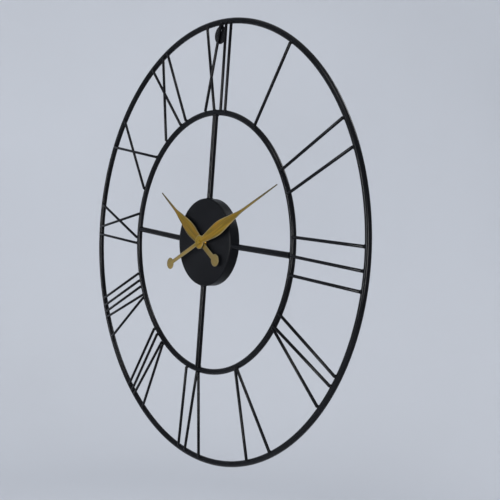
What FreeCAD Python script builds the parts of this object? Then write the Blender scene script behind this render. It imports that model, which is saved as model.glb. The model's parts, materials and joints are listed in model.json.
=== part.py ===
"""Open-frame wall clock: a welded round-bar dial with Roman numerals, a hub cup,
leaf-shaped hands and a battery quartz movement with its whole wheel train.

Row frame, millimetres: X to 3 o'clock, Z to 12 o'clock, the dial faces -Y and the
wall is the plane y = 0. The origin is where the hands' axis meets the wall.
"""
import FreeCAD, Part
import math
import os

V = FreeCAD.Vector
ALONG_Y = V(0, 1, 0)

# ---------------------------------------------------------------- dial frame
OUTER_R = 300.0            # outer ring, centre line of its bar
INNER_R = 178.0            # inner ring, centre line of its bar
BAR_R = 4.0                # rings and spokes: 8 mm round bar
ROD_R = 2.0                # numerals: 4 mm round rod
RING_Y = -12.0             # plane of the rings and spokes
ROD_Y = RING_Y - 4.0       # numeral rods lie against the front of the band between the rings
ROD_SHORT = 2.8            # a numeral rod ends this far short of a ring's centre line

# Each stroke of a numeral is a rod: its sideways place, positive clockwise, from the
# numeral's own radial line at the inner ring and at the outer ring. The two strokes
# of an X or a V share a list, because the second is cut to fit round the first.
NUMERALS = {
    1: [[(0, 0)]],
    2: [[(-14, -18)], [(18, 20)]],
    3: [[(-23, -23)], [(0, 4)], [(23, 27)]],
    4: [[(-20, -24)], [(-1, -10), (1, 24)]],
    5: [[(0, -23), (2, 27)]],
    6: [[(-7, -22), (-4, 13)], [(22, 29)]],
    7: [[(-4, -20), (-1, 11)], [(16, 19)], [(27, 31)]],
    8: [[(-11, -35), (-7, 1)], [(7, 10)], [(17, 21)], [(28, 33)]],
    9: [[(-18, -14)], [(-10, 37), (28, -3)]],
    10: [[(-27, 32), (32, -22)]],
    11: [[(-30, 14), (14, -20)], [(27, 25)]],
    12: [[(-20, 4), (2, -29)], [(16, 15)], [(26, 26)]],
}

# sideways place of each spoke at the cup and at the inner ring, as for the numerals
SPOKES = {12: (0, 0), 3: (0, 0), 6: (0, 0), 9: (0, 4)}

HANGER_R = 12.2            # round hanging plate under the outer ring at 12 o'clock
HANGER_Z = 282.5
HANGER_THICK = 2.0
HANGER_Y = ROD_Y + ROD_R + 0.5 * HANGER_THICK + 0.05     # middle of the plate, behind the rods
HANGER_NECK = 9.0          # width of the neck welded to the ring
NAIL_HOLE_R = 2.6
NAIL_HOLE_Z = 288.9

# ------------------------------------------------------------------ hub cup
CUP_R = 60.5
CUP_FRONT = -17.7
CUP_BACK = -2.0
SHEET = 1.2
CUP_EDGE_R = 2.2
SHAFT_HOLE_R = 4.3

# ----------------------------------------------------- movement: case and fixing
CASE_HALF = 28.0           # 56 mm square case
CASE_CORNER = 3.0
CASE_FRONT = -15.5
CASE_WALL = 1.2
COVER_THICK = 1.2
BAY_TOP = -11.4            # battery bay, below the wheels
TRAIN_FLOOR = BAY_TOP + 1.0
BAY_BOTTOM = -26.9
BAY_SKIN = 0.6             # case wall in front of the cell
CLEAR = 0.05               # between a cover or plate and the wall around it

BUSH_R = 4.0               # M8 threaded bush
BUSH_BORE_R = 2.55
BUSH_FRONT = -20.9
THREAD_PITCH = 0.75
THREAD_DEPTH = 0.35
RUBBER_R = 14.0
WASHER_R = 8.0
WASHER_THICK = 0.5
NUT_FLATS = 11.0
NUT_THICK = 2.3

# ------------------------------------------------------------------- hands
MINUTE_ANGLE = 61.2        # at rest, degrees clockwise from 12 o'clock
HOUR_ANGLE = 300.8
HAND_THICK = 0.7
HOUR_HAND_FRONT = -22.9
MINUTE_HAND_FRONT = -25.1
BOSS_R = 9.5
# distance from the axis and half width: through the leaf, then straight to the tip
MINUTE_LEAF = [(0, 3.4), (14, 5.6), (46, 9.6), (76, 5.6), (104, 2.1)]
MINUTE_TIP = (176, 0.8)
HOUR_LEAF = [(0, 5.5), (11, 7.4), (32, 9.6), (58, 6.0), (80, 2.4)]
HOUR_TIP = (122, 1.0)
MINUTE_TAIL = (77.5, 8.2, 2.9)      # disc's distance, disc's radius, stem's half width
HOUR_TAIL = (41.5, 8.4, 3.9)

# --------------------------------------------------- arbors and running fits
FIT = 0.05                 # radial clearance of every running fit
ARBOR_R = 1.6              # minute arbor
HOUR_TUBE_R = 2.5
SPINDLE_R = 1.0            # rear of the minute arbor, inside the centre wheel
HAND_SEAT_R = 1.2          # reduced end that carries the minute hand
PIVOT_R = 0.35
STAFF_R = 0.6
CAP_R = 2.9

# ------------------------------------------------------------- wheel train
# teeth of wheel and pinion in each mesh
CENTRE_TEETH, THIRD_LEAVES = 64, 8
THIRD_TEETH, SECONDS_LEAVES = 60, 8
SECONDS_TEETH, FIFTH_LEAVES = 30, 6
FIFTH_TEETH, ROTOR_LEAVES = 36, 6
MOTION_TEETH, CANNON_LEAVES = 36, 12
HOUR_TEETH, MOTION_LEAVES = 48, 12
KNOB_LEAVES = 12

THIRD_DISTANCE, THIRD_BEARING = 9.0, 110.0       # from the centre axis, direction in XZ
FIFTH_DISTANCE, FIFTH_BEARING = 9.2, 180.0
ROTOR_DISTANCE, ROTOR_BEARING = 6.3, 160.0       # from the fifth wheel
MOTION_DISTANCE, MOTION_BEARING = 8.4, 20.0
KNOB_DISTANCE, KNOB_BEARING = 8.4, 20.0          # from the motion wheel

# layers, front to back: start of each wheel; pinions start PINION_LEAD earlier
WHEEL_THICK = 0.7
PINION_LEAD = 0.2
HOUR_WHEEL_Y = -14.1
MOTION_WHEEL_Y = -13.0
MID_PLATE_Y = -11.9
CENTRE_WHEEL_Y = -10.7
THIRD_WHEEL_Y = -9.4
STATOR_Y = -8.3
SECONDS_WHEEL_Y = -7.2
FIFTH_WHEEL_Y = -5.6
BRIDGE_Y = -4.2
PLATE_THICK = 0.8

MAGNET_R = 2.2
MAGNET_HALF = 1.1
STATOR_HOLE_R = 2.7
STATOR_RIM = 0.6           # iron left beside the rotor's hole
COIL_X, COIL_Y = -22.4, -6.6
COIL_LOW, COIL_HIGH = -5.0, 15.0
COIL_R = 3.3
FLANGE_R = 3.8
FLANGE_THICK = 1.0
CORE_WIDE, CORE_THICK = 3.0, 1.8

KNOB_R = 5.4
KNOB_THICK = 2.3
KNOB_BACK = -0.4
KNOB_FLUTES = 16
FLUTE_R = 0.6
KNOB_POCKET_R = 6.2
KNOB_GAP = 0.4             # between the knob and its pocket's floor
POCKET_WALL = 0.8
BRIDGE_GAP = 0.5           # between the pocket and the bridge cut away round it
KNOB_STEM_R = 1.3

CELL_R = 7.1               # AA cell
CELL_LONG = 48.6
CELL_NUB_R, CELL_NUB = 2.7, 1.0
CELL_Y = -7.65
CELL_Z = 0.5 * (BAY_TOP + BAY_BOTTOM)
CONTACT_THICK = 0.4
CONTACT_HALF_Y, CONTACT_HALF_Z = 4.0, 3.0
CONTACT_GAP = 0.3          # between a contact's blade and the cell's end
CAN_EDGE_R = 0.8

BOARD_Y = -6.0
BOARD_THICK = 0.8
BOARD_X0, BOARD_X1 = -12.0, 26.0
BOARD_Z0, BOARD_Z1 = 19.0, 26.2
CHIP_X, CHIP_Z, CHIP_WIDE, CHIP_HIGH = 4.0, 22.5, 4.0, 1.0
CRYSTAL_X, CRYSTAL_Z, CRYSTAL_R, CRYSTAL_LONG = 12.0, 22.0, 1.0, 6.0

BRIDGE_X0, BRIDGE_X1 = -17.0, 12.0
BRIDGE_Z0, BRIDGE_Z1 = -9.8, 17.0
POST_R = 1.2
BRIDGE_POSTS = [(10.5, 14.0), (10.5, -8.0), (-6.0, -8.5)]
BOARD_POSTS = [(-10.0, 24.0), (23.0, 24.0)]


# ------------------------------------------------------------------ helpers
def rod_y(y0, y1, radius, x=0.0, z=0.0):
    """Cylinder along Y from y0 to y1."""
    return Part.makeCylinder(radius, y1 - y0, V(x, y0, z), ALONG_Y)


def ring_y(y0, y1, outer, inner, x=0.0, z=0.0):
    """Tube along Y from y0 to y1."""
    return rod_y(y0, y1, outer, x, z).cut(rod_y(y0, y1, inner, x, z))


def box(x0, x1, y0, y1, z0, z1):
    return Part.makeBox(x1 - x0, y1 - y0, z1 - z0, V(x0, y0, z0))


def dial_point(angle, radius, y, sideways=0.0):
    """Point at a clock angle and radial distance, moved sideways clockwise."""
    a = math.radians(angle)
    return V(radius * math.sin(a) + sideways * math.cos(a), y,
             radius * math.cos(a) - sideways * math.sin(a))


def place(distance, bearing, start=(0.0, 0.0)):
    """Point (x, z) at a distance and bearing, anticlockwise from +X, from a start."""
    b = math.radians(bearing)
    return start[0] + distance * math.cos(b), start[1] + distance * math.sin(b)


def bar(start, end, radius):
    return Part.makeCylinder(radius, start.distanceToPoint(end), start, end - start)


def save(name, *solids):
    """Write one node; several solids make a group node."""
    shape = solids[0] if len(solids) == 1 else Part.makeCompound(list(solids))
    assert shape.isValid(), name
    shape.exportStep(os.path.join("parts", name + ".step"))


# --------------------------------------------------------------- dial frame
def dial_ring(radius):
    return Part.makeTorus(radius, BAR_R, V(0, RING_Y, 0), ALONG_Y)


def spoke(hour, cup_body):
    """Bar from the cup's side wall to the inner ring, coped to both."""
    foot, head = SPOKES[hour]
    start = dial_point(30 * hour, CUP_R - BAR_R, RING_Y, foot)
    end = dial_point(30 * hour, INNER_R, RING_Y, head)
    return bar(start, end, BAR_R).cut(cup_body).cut(dial_ring(INNER_R))


def stroke_rod(hour, foot, head):
    """One numeral rod between the two rings, its ends lapped on their front flanks."""
    angle = 30.0 * hour
    foot_radial = math.sqrt(INNER_R ** 2 - foot ** 2)
    head_radial = math.sqrt(OUTER_R ** 2 - head ** 2)
    a = dial_point(angle, foot_radial, ROD_Y, foot)
    b = dial_point(angle, head_radial, ROD_Y, head)
    along = (b - a).normalize() * ROD_SHORT
    return bar(a + along, b - along, ROD_R)


def numeral(hour, rings):
    """Rods of one numeral: where two meet, the second is coped to the first."""
    solids = []
    for group in NUMERALS[hour]:
        rods = [stroke_rod(hour, foot, head) for foot, head in group]
        solids.append(rods[0])
        for rod in rods[1:]:
            solids.extend(rod.cut(rods[0]).Solids)
    return [rod.cut(rings) for rod in solids]


def hanger_plate():
    y0, y1 = HANGER_Y - 0.5 * HANGER_THICK, HANGER_Y + 0.5 * HANGER_THICK
    disc = rod_y(y0, y1, HANGER_R, 0, HANGER_Z)
    neck = box(-0.5 * HANGER_NECK, 0.5 * HANGER_NECK, y0, y1, HANGER_Z, OUTER_R)
    plate = disc.fuse(neck).cut(rod_y(y0, y1, NAIL_HOLE_R, 0, NAIL_HOLE_Z))
    return plate.cut(dial_ring(OUTER_R)).removeSplitter()


# ------------------------------------------------------------------ hub cup
def cup_outside():
    body = rod_y(CUP_FRONT, CUP_BACK, CUP_R)
    front = [e for e in body.Edges if abs(e.CenterOfMass.y - CUP_FRONT) < 1e-6]
    return body.makeFillet(CUP_EDGE_R, front[:1])


def hub_cup():
    inside = rod_y(CUP_FRONT + SHEET, CUP_BACK + 1, CUP_R - SHEET)
    edges = [e for e in inside.Edges if abs(e.CenterOfMass.y - CUP_FRONT - SHEET) < 1e-6]
    inside = inside.makeFillet(CUP_EDGE_R - SHEET, edges[:1])
    return cup_outside().cut(inside).cut(rod_y(CUP_FRONT, CUP_BACK, SHAFT_HOLE_R))


# ------------------------------------------------------------ case and fixing
def rounded_case():
    block = box(-CASE_HALF, CASE_HALF, CASE_FRONT, 0, -CASE_HALF, CASE_HALF)
    corners = [e for e in block.Edges
               if abs(e.Vertexes[0].Point.y - e.Vertexes[1].Point.y) > 1]
    return block.makeFillet(CASE_CORNER, corners)


def case_front():
    inner = CASE_HALF - CASE_WALL
    body = rounded_case()
    body = body.cut(box(-inner, inner, CASE_FRONT + CASE_WALL, 1, TRAIN_FLOOR, inner))
    body = body.cut(box(-inner, inner, CASE_FRONT + BAY_SKIN, 1, BAY_BOTTOM, BAY_TOP))
    body = body.cut(rod_y(CASE_FRONT, CASE_FRONT + CASE_WALL, BUSH_R))
    for x, z in (MOTION, KNOB):
        body = body.cut(rod_y(CASE_FRONT + 0.5 * CASE_WALL, 0, PIVOT_R + FIT, x, z))
    return body


def case_back():
    """Snap-in cover over the wheels, with the pocket of the setting knob."""
    inner = CASE_HALF - CASE_WALL - CLEAR
    cover = box(-inner, inner, -COVER_THICK, 0, TRAIN_FLOOR + CLEAR, inner)
    pocket_floor = KNOB_BACK - KNOB_THICK - KNOB_GAP
    x, z = KNOB
    cover = cover.fuse(rod_y(pocket_floor - POCKET_WALL, 0, KNOB_POCKET_R + POCKET_WALL, x, z))
    cover = cover.cut(rod_y(pocket_floor, 0, KNOB_POCKET_R, x, z))
    return cover.cut(rod_y(pocket_floor - 1, 0, KNOB_STEM_R + FIT, x, z)).removeSplitter()


def threaded_bush():
    """Brass tube, ridged outside where the fixing nut runs."""
    body = ring_y(BUSH_FRONT, CASE_FRONT + CASE_WALL, BUSH_R, BUSH_BORE_R)
    turns = int((CUP_FRONT - BUSH_FRONT - 0.3) / THREAD_PITCH)
    for i in range(turns):
        y = BUSH_FRONT + THREAD_PITCH * (i + 0.5)
        half = 0.35 * THREAD_PITCH
        groove = Part.Face(Part.makePolygon([
            V(BUSH_R + 0.1, y - half, 0), V(BUSH_R - THREAD_DEPTH, y, 0),
            V(BUSH_R + 0.1, y + half, 0), V(BUSH_R + 0.1, y - half, 0)]))
        body = body.cut(groove.revolve(V(0, 0, 0), ALONG_Y, 360))
    return body


def fixing_nut():
    y1 = CUP_FRONT - WASHER_THICK
    y0 = y1 - NUT_THICK
    corner = 0.5 * NUT_FLATS / math.cos(math.radians(30))
    flats = [place(corner, 60 * i) for i in range(7)]
    points = [V(x, y0, z) for x, z in flats]
    nut = Part.Face(Part.makePolygon(points)).extrude(V(0, NUT_THICK, 0))
    nut = nut.common(rod_y(y0, y1, corner - 0.25))
    return nut.cut(rod_y(y0, y1, BUSH_R))


# ------------------------------------------------------------------- hands
def leaf_face(profile, tip):
    """Symmetric leaf, pointing to +Z: a smooth curve, then a straight taper to the tip."""
    ends, corners = [], []
    for side in (1, -1):
        points = [V(side * w, 0, r) for r, w in profile]
        corner = V(side * tip[1], 0, tip[0])
        curve = Part.BSplineCurve()
        curve.interpolate(Points=points, InitialTangent=points[1] - points[0],
                          FinalTangent=corner - points[-1])
        ends.append([curve.toShape(), Part.makeLine(points[-1], corner)])
        corners.append((points[0], corner))
    (foot_a, tip_a), (foot_b, tip_b) = corners
    across = [Part.makeLine(tip_a, tip_b), Part.makeLine(foot_a, foot_b)]
    return Part.Face(Part.Wire(Part.sortEdges(ends[0] + ends[1] + across)[0]))


def hand(profile, tip, tail, front, hole_r, angle):
    """Stamped blade with a round boss, a stem and a round tail disc."""
    distance, disc_r, stem_half = tail
    blade = leaf_face(profile, tip).extrude(V(0, HAND_THICK, 0))
    blade.translate(V(0, front, 0))
    back = front + HAND_THICK
    stem = box(-stem_half, stem_half, front, back, -distance, 0)
    body = blade.fuse([rod_y(front, back, BOSS_R), stem, rod_y(front, back, disc_r, 0, -distance)])
    body = body.removeSplitter().cut(rod_y(front, back, hole_r))
    body.rotate(V(0, 0, 0), ALONG_Y, angle)
    return body


def hour_hand():
    """The hour hand has a collet that grips the hour tube."""
    body = hand(HOUR_LEAF, HOUR_TIP, HOUR_TAIL, HOUR_HAND_FRONT, HOUR_TUBE_R, HOUR_ANGLE)
    back = HOUR_HAND_FRONT + HAND_THICK
    return body.fuse(ring_y(back, back + 1.0, HOUR_TUBE_R + 0.9, HOUR_TUBE_R)).removeSplitter()


def minute_hand():
    return hand(MINUTE_LEAF, MINUTE_TIP, MINUTE_TAIL, MINUTE_HAND_FRONT, HAND_SEAT_R, MINUTE_ANGLE)


def hand_cap():
    """Domed cap nut over the end of the minute arbor."""
    y1 = MINUTE_HAND_FRONT
    cap = rod_y(y1 - 1.5, y1, CAP_R)
    front = [e for e in cap.Edges if abs(e.CenterOfMass.y - y1 + 1.5) < 1e-6]
    return cap.makeFillet(0.9, front[:1]).cut(rod_y(y1 - 0.9, y1, HAND_SEAT_R))


# ------------------------------------------------------------------- wheels
THIRD = place(THIRD_DISTANCE, THIRD_BEARING)
FIFTH = place(FIFTH_DISTANCE, FIFTH_BEARING)
ROTOR = place(ROTOR_DISTANCE, ROTOR_BEARING, FIFTH)
MOTION = place(MOTION_DISTANCE, MOTION_BEARING)
KNOB = place(KNOB_DISTANCE, KNOB_BEARING, MOTION)

ADDENDUM, DEDENDUM = 0.75, 1.15      # in modules
TOOTH_ROOT, TOOTH_TIP = 0.30, 0.10   # half widths as parts of the tooth pitch


def gear(teeth, module, y0, thick, centre=(0.0, 0.0), phase=0.0):
    """Spur gear with straight-flanked teeth, one of them at the bearing `phase`."""
    pitch = 360.0 / teeth
    r_pitch = 0.5 * module * teeth
    r_tip, r_root = r_pitch + ADDENDUM * module, r_pitch - DEDENDUM * module
    points = []
    for i in range(teeth):
        mid = phase + pitch * i
        for radius, part in ((r_root, -TOOTH_ROOT), (r_tip, -TOOTH_TIP),
                             (r_tip, TOOTH_TIP), (r_root, TOOTH_ROOT)):
            x, z = place(radius, mid + part * pitch, centre)
            points.append(V(x, y0, z))
    points.append(points[0])
    return Part.Face(Part.makePolygon(points)).extrude(V(0, thick, 0))


def mate_phase(teeth, phase, mate_teeth, bearing):
    """Phase of a mate, seen at `bearing` from a gear, that puts its gap on the tooth."""
    pitch, mate_pitch = 360.0 / teeth, 360.0 / mate_teeth
    return bearing + 180.0 - mate_pitch * ((phase - bearing) / pitch + 0.5)


def module_of(distance, *teeth):
    return 2.0 * distance / sum(teeth)


def pinion_span(wheel_y):
    """Start and length of the pinion that drives or is driven by a wheel."""
    return wheel_y - PINION_LEAD, WHEEL_THICK + 2 * PINION_LEAD


def staff(y0, y1, centre, body):
    """Wheel body on its staff, with a thin pivot at each end, y0 and y1 its tips."""
    x, z = centre
    shoulder0 = y0 + 0.5 * PLATE_THICK + 0.3
    shoulder1 = y1 - 0.5 * PLATE_THICK - 0.3
    pin = rod_y(y0, y1, PIVOT_R, x, z).fuse(rod_y(shoulder0, shoulder1, STAFF_R, x, z))
    return body.fuse(pin).removeSplitter()


MID_PIVOT_Y = MID_PLATE_Y + 0.5 * PLATE_THICK      # front tips of the train's pivots
BRIDGE_PIVOT_Y = BRIDGE_Y + 0.5 * PLATE_THICK      # rear tips


def centre_wheel():
    """Driven wheel, free on the minute arbor's spindle apart from its clutch."""
    m = module_of(THIRD_DISTANCE, CENTRE_TEETH, THIRD_LEAVES)
    wheel = gear(CENTRE_TEETH, m, CENTRE_WHEEL_Y, WHEEL_THICK)
    hub = rod_y(CENTRE_WHEEL_Y - 0.2, CENTRE_WHEEL_Y + WHEEL_THICK + 0.1, SPINDLE_R + 0.9)
    return wheel.fuse(hub).removeSplitter().cut(
        rod_y(CENTRE_WHEEL_Y - 1, CENTRE_WHEEL_Y + 2, SPINDLE_R + FIT))


def third_wheel():
    m_pinion = module_of(THIRD_DISTANCE, CENTRE_TEETH, THIRD_LEAVES)
    m_wheel = module_of(THIRD_DISTANCE, THIRD_TEETH, SECONDS_LEAVES)
    y0 = CENTRE_WHEEL_Y - PINION_LEAD
    pinion = gear(THIRD_LEAVES, m_pinion, y0, THIRD_WHEEL_Y - y0, THIRD,
                  mate_phase(CENTRE_TEETH, 0, THIRD_LEAVES, THIRD_BEARING))
    wheel = gear(THIRD_TEETH, m_wheel, THIRD_WHEEL_Y, WHEEL_THICK, THIRD)
    return staff(MID_PIVOT_Y, BRIDGE_PIVOT_Y, THIRD, pinion.fuse(wheel))


def seconds_wheel():
    m_pinion = module_of(THIRD_DISTANCE, THIRD_TEETH, SECONDS_LEAVES)
    m_wheel = module_of(FIFTH_DISTANCE, SECONDS_TEETH, FIFTH_LEAVES)
    y0 = THIRD_WHEEL_Y - PINION_LEAD
    pinion = gear(SECONDS_LEAVES, m_pinion, y0, SECONDS_WHEEL_Y - y0, (0.0, 0.0),
                  mate_phase(THIRD_TEETH, 0, SECONDS_LEAVES, THIRD_BEARING + 180))
    wheel = gear(SECONDS_TEETH, m_wheel, SECONDS_WHEEL_Y, WHEEL_THICK)
    return staff(SPINDLE_END - 0.6, BRIDGE_PIVOT_Y, (0.0, 0.0), pinion.fuse(wheel))


def fifth_wheel():
    m_pinion = module_of(FIFTH_DISTANCE, SECONDS_TEETH, FIFTH_LEAVES)
    m_wheel = module_of(ROTOR_DISTANCE, FIFTH_TEETH, ROTOR_LEAVES)
    y0 = SECONDS_WHEEL_Y - PINION_LEAD
    pinion = gear(FIFTH_LEAVES, m_pinion, y0, FIFTH_WHEEL_Y - y0, FIFTH,
                  mate_phase(SECONDS_TEETH, 0, FIFTH_LEAVES, FIFTH_BEARING))
    wheel = gear(FIFTH_TEETH, m_wheel, FIFTH_WHEEL_Y, WHEEL_THICK, FIFTH)
    return staff(MID_PIVOT_Y, BRIDGE_PIVOT_Y, FIFTH, pinion.fuse(wheel))


def rotor():
    """Permanent magnet and its pinion: the only driven piece of the motor."""
    m = module_of(ROTOR_DISTANCE, FIFTH_TEETH, ROTOR_LEAVES)
    y0, thick = pinion_span(FIFTH_WHEEL_Y)
    pinion = gear(ROTOR_LEAVES, m, y0, thick, ROTOR,
                  mate_phase(FIFTH_TEETH, 0, ROTOR_LEAVES, ROTOR_BEARING))
    middle = STATOR_Y + 0.5 * PLATE_THICK
    magnet = rod_y(middle - MAGNET_HALF, middle + MAGNET_HALF, MAGNET_R, *ROTOR)
    neck = rod_y(middle, y0 + 0.1, STAFF_R, *ROTOR)
    return staff(MID_PIVOT_Y, BRIDGE_PIVOT_Y, ROTOR, magnet.fuse([neck, pinion]))


def motion_wheel():
    """Idler of the 12 to 1 drive between the minute arbor and the hour wheel."""
    m_pinion = module_of(MOTION_DISTANCE, HOUR_TEETH, MOTION_LEAVES)
    m_wheel = module_of(MOTION_DISTANCE, MOTION_TEETH, CANNON_LEAVES)
    y0 = HOUR_WHEEL_Y
    pinion = gear(MOTION_LEAVES, m_pinion, y0, MOTION_WHEEL_Y - y0, MOTION,
                  mate_phase(HOUR_TEETH, 0, MOTION_LEAVES, MOTION_BEARING))
    wheel = gear(MOTION_TEETH, m_wheel, MOTION_WHEEL_Y, WHEEL_THICK, MOTION)
    front_tip = CASE_FRONT + 0.5 * CASE_WALL + 0.1
    pin = rod_y(front_tip, MID_PIVOT_Y, PIVOT_R, *MOTION)
    return pinion.fuse([wheel, pin]).removeSplitter()


SPINDLE_END = CENTRE_WHEEL_Y + WHEEL_THICK + 0.15


def minute_arbor():
    """Cannon pinion with the shaft to the minute hand and the spindle behind it."""
    m = module_of(MOTION_DISTANCE, MOTION_TEETH, CANNON_LEAVES)
    y0, thick = pinion_span(MOTION_WHEEL_Y)
    pinion = gear(CANNON_LEAVES, m, y0, thick, (0.0, 0.0),
                  mate_phase(MOTION_TEETH, 0, CANNON_LEAVES, MOTION_BEARING + 180))
    shoulder = MINUTE_HAND_FRONT + HAND_THICK
    shaft = rod_y(shoulder, y0 + thick, ARBOR_R)
    seat = rod_y(shoulder - HAND_THICK - 0.9, shoulder, HAND_SEAT_R)
    spindle = rod_y(y0, SPINDLE_END, SPINDLE_R)
    body = pinion.fuse([shaft, seat, spindle]).removeSplitter()
    return body.cut(rod_y(SPINDLE_END - 1.2, SPINDLE_END, PIVOT_R + FIT))


def hour_wheel():
    m = module_of(MOTION_DISTANCE, HOUR_TEETH, MOTION_LEAVES)
    wheel = gear(HOUR_TEETH, m, HOUR_WHEEL_Y, WHEEL_THICK)
    tube = rod_y(HOUR_HAND_FRONT, HOUR_WHEEL_Y, HOUR_TUBE_R)
    return wheel.fuse(tube).removeSplitter().cut(
        rod_y(HOUR_HAND_FRONT, HOUR_WHEEL_Y + WHEEL_THICK, ARBOR_R + FIT))


def setting_knob():
    """Fluted knob in the cover's pocket, its stem and its pinion on the motion wheel."""
    m = module_of(KNOB_DISTANCE, MOTION_TEETH, KNOB_LEAVES)
    y0, thick = pinion_span(MOTION_WHEEL_Y)
    pinion = gear(KNOB_LEAVES, m, y0, thick, KNOB,
                  mate_phase(MOTION_TEETH, 0, KNOB_LEAVES, KNOB_BEARING))
    x, z = KNOB
    pin = rod_y(CASE_FRONT + 0.5 * CASE_WALL + 0.1, y0, PIVOT_R, x, z)
    stem = rod_y(y0, KNOB_BACK - KNOB_THICK, KNOB_STEM_R, x, z)
    head = rod_y(KNOB_BACK - KNOB_THICK, KNOB_BACK, KNOB_R, x, z)
    for i in range(KNOB_FLUTES):
        fx, fz = place(KNOB_R + 0.4 * FLUTE_R, 360.0 / KNOB_FLUTES * i, KNOB)
        head = head.cut(rod_y(KNOB_BACK - KNOB_THICK, KNOB_BACK, FLUTE_R, fx, fz))
    return pinion.fuse([pin, stem, head]).removeSplitter()


# --------------------------------------------------------- plates and motor
def mid_plate():
    """Bearing plate between the motion work and the wheel train."""
    inner = CASE_HALF - CASE_WALL - CLEAR
    y0, y1 = MID_PLATE_Y, MID_PLATE_Y + PLATE_THICK
    plate = box(-inner, inner, y0, y1, TRAIN_FLOOR + CLEAR, inner)
    for x, z in BOARD_POSTS:
        plate = plate.fuse(rod_y(y1, BOARD_Y, POST_R, x, z))
    for x, z in (THIRD, FIFTH, ROTOR, MOTION):
        plate = plate.cut(rod_y(y0, y1, PIVOT_R + FIT, x, z))
    plate = plate.cut(rod_y(y0, y1, SPINDLE_R + FIT))
    return plate.cut(rod_y(y0, y1, KNOB_STEM_R + FIT, *KNOB)).removeSplitter()


def train_bridge():
    """Rear bearing plate of the train, on three posts."""
    y0, y1 = BRIDGE_Y, BRIDGE_Y + PLATE_THICK
    plate = box(BRIDGE_X0, BRIDGE_X1, y0, y1, BRIDGE_Z0, BRIDGE_Z1)
    plate = plate.cut(rod_y(y0, y1, KNOB_POCKET_R + POCKET_WALL + BRIDGE_GAP, *KNOB))
    for x, z in BRIDGE_POSTS:
        plate = plate.fuse(rod_y(MID_PLATE_Y + PLATE_THICK, y0, POST_R, x, z))
    for x, z in (THIRD, FIFTH, ROTOR, (0.0, 0.0)):
        plate = plate.cut(rod_y(y0, y1, PIVOT_R + FIT, x, z))
    return plate.removeSplitter()


CORE_X0, CORE_X1 = COIL_X - 0.5 * CORE_WIDE, COIL_X + 0.5 * CORE_WIDE
CORE_Y0 = STATOR_Y + PLATE_THICK
CORE_END = 3.5             # how far the core stands out of the bobbin


def stator():
    """Soft-iron plate with the rotor's hole, its ears on the coil's core."""
    y0, y1 = STATOR_Y, STATOR_Y + PLATE_THICK
    low, high = COIL_LOW - CORE_END, COIL_HIGH + CORE_END
    half = STATOR_HOLE_R + STATOR_RIM
    leg_x0, leg_x1 = ROTOR[0] - half, ROTOR[0] + half
    leg = box(leg_x0, leg_x1, y0, y1, low, high)
    ears = [box(CORE_X0, leg_x0, y0, y1, z, z + CORE_WIDE) for z in (low, high - CORE_WIDE)]
    return leg.fuse(ears).removeSplitter().cut(rod_y(y0, y1, STATOR_HOLE_R, *ROTOR))


def coil_core():
    return box(CORE_X0, CORE_X1, CORE_Y0, CORE_Y0 + CORE_THICK,
               COIL_LOW - CORE_END, COIL_HIGH + CORE_END)


def _coil_tube(radius, z0, z1):
    return Part.makeCylinder(radius, z1 - z0, V(COIL_X, COIL_Y, z0), V(0, 0, 1))


def coil_bobbin():
    barrel = _coil_tube(1.9, COIL_LOW, COIL_HIGH)
    ends = [_coil_tube(FLANGE_R, COIL_LOW, COIL_LOW + FLANGE_THICK),
            _coil_tube(FLANGE_R, COIL_HIGH - FLANGE_THICK, COIL_HIGH)]
    return barrel.fuse(ends).removeSplitter().cut(coil_core())


def coil_winding():
    low, high = COIL_LOW + FLANGE_THICK, COIL_HIGH - FLANGE_THICK
    return _coil_tube(COIL_R, low, high).cut(_coil_tube(1.9, low, high))


def circuit_board():
    return box(BOARD_X0, BOARD_X1, BOARD_Y, BOARD_Y + BOARD_THICK, BOARD_Z0, BOARD_Z1)


def quartz_crystal():
    start = V(CRYSTAL_X, BOARD_Y - CRYSTAL_R, CRYSTAL_Z)
    return Part.makeCylinder(CRYSTAL_R, CRYSTAL_LONG, start, V(1, 0, 0))


def clock_chip():
    half = 0.5 * CHIP_WIDE
    return box(CHIP_X - half, CHIP_X + half, BOARD_Y - CHIP_HIGH, BOARD_Y,
               CHIP_Z - half, CHIP_Z + half)


# ------------------------------------------------------------------ battery
def battery_cell():
    x0 = -0.5 * (CELL_LONG + CELL_NUB)
    can = Part.makeCylinder(CELL_R, CELL_LONG, V(x0, CELL_Y, CELL_Z), V(1, 0, 0))
    can = can.makeFillet(CAN_EDGE_R, [e for e in can.Edges if len(e.Vertexes) == 1])
    nub = Part.makeCylinder(CELL_NUB_R, CELL_NUB, V(x0 + CELL_LONG, CELL_Y, CELL_Z), V(1, 0, 0))
    return can.fuse(nub).removeSplitter()


def battery_contact(side):
    """Leaf contact: a foot on the bay's end wall and a springy blade off it."""
    wall = CASE_HALF - CASE_WALL
    tip = 0.5 * (CELL_LONG + CELL_NUB) + CONTACT_GAP
    y0, y1 = CELL_Y - CONTACT_HALF_Y, CELL_Y + CONTACT_HALF_Y
    z0, z1 = CELL_Z - CONTACT_HALF_Z, CELL_Z + CONTACT_HALF_Z
    blade = box(tip, tip + CONTACT_THICK, y0, y1, z0, z1)
    foot = box(wall - CONTACT_THICK, wall, y0, y1, z0, z1)
    joint = box(tip, wall, y0, y0 + CONTACT_THICK, z0, z1)
    leaf = blade.fuse([foot, joint]).removeSplitter()
    return leaf if side > 0 else leaf.mirror(V(0, 0, 0), V(1, 0, 0))


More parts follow.
